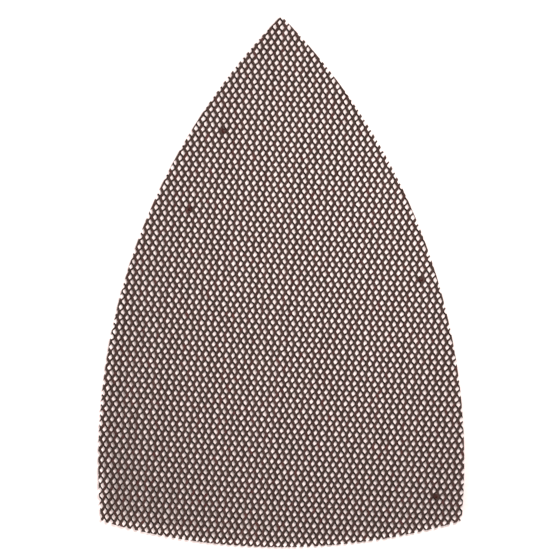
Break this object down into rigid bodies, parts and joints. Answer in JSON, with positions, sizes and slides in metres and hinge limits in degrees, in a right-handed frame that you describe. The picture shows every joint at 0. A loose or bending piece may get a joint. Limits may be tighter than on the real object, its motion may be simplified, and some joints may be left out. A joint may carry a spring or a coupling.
{
  "type": "net abrasive sheet",
  "caption": "Pointed iron-shaped net sanding sheet with an open diamond mesh, abrasive face and looped back for a hook-faced sander pad.",
  "frame": {"origin": "centre of the sheet's bounding box, on the plane that the back's loops stand on", "axes": "+Z out of the abrasive face, +Y from the bowed base towards the point, +X to the right as seen on the abrasive face with the point up"},
  "size_m": [0.105, 0.152, 0.0012],
  "materials": {
    "chain_yarn": "resin-stiffened knitted polyamide thread, brown",
    "link_yarn": "resin-stiffened knitted polyamide thread, dark brown",
    "loop_yarn": "soft open loops of fine filament, pale brown",
    "bond_resin": "hard brown resin, slightly glossy",
    "abrasive_grain": "sharp aluminium oxide grains, brown, with small glints"
  },
  "bodies": {
    "root": {"loop_threads_1": "loop_yarn", "loop_threads_2": "loop_yarn", "loop_threads_3": "loop_yarn", "loop_threads_4": "loop_yarn", "loop_threads_5": "loop_yarn", "loop_threads_6": "loop_yarn", "loop_threads_7": "loop_yarn", "loop_threads_8": "loop_yarn", "loop_threads_9": "loop_yarn", "link_threads_1": "link_yarn", "link_threads_2": "link_yarn", "link_threads_3": "link_yarn", "link_threads_4": "link_yarn", "link_threads_5": "link_yarn", "link_threads_6": "link_yarn", "link_threads_7": "link_yarn", "link_threads_8": "link_yarn", "link_threads_9": "link_yarn", "chain_threads_1": "chain_yarn", "chain_threads_2": "chain_yarn", "chain_threads_3": "chain_yarn", "chain_threads_4": "chain_yarn", "chain_threads_5": "chain_yarn", "chain_threads_6": "chain_yarn", "chain_threads_7": "chain_yarn", "chain_threads_8": "chain_yarn", "chain_threads_9": "chain_yarn", "bond_coat_1": "bond_resin", "bond_coat_2": "bond_resin", "bond_coat_3": "bond_resin", "bond_coat_4": "bond_resin", "bond_coat_5": "bond_resin", "bond_coat_6": "bond_resin", "bond_coat_7": "bond_resin", "bond_coat_8": "bond_resin", "bond_coat_9": "bond_resin", "grain_coat_1": "abrasive_grain", "grain_coat_2": "abrasive_grain", "grain_coat_3": "abrasive_grain", "grain_coat_4": "abrasive_grain", "grain_coat_5": "abrasive_grain", "grain_coat_6": "abrasive_grain", "grain_coat_7": "abrasive_grain", "grain_coat_8": "abrasive_grain", "grain_coat_9": "abrasive_grain"}
  },
  "joints": []
}
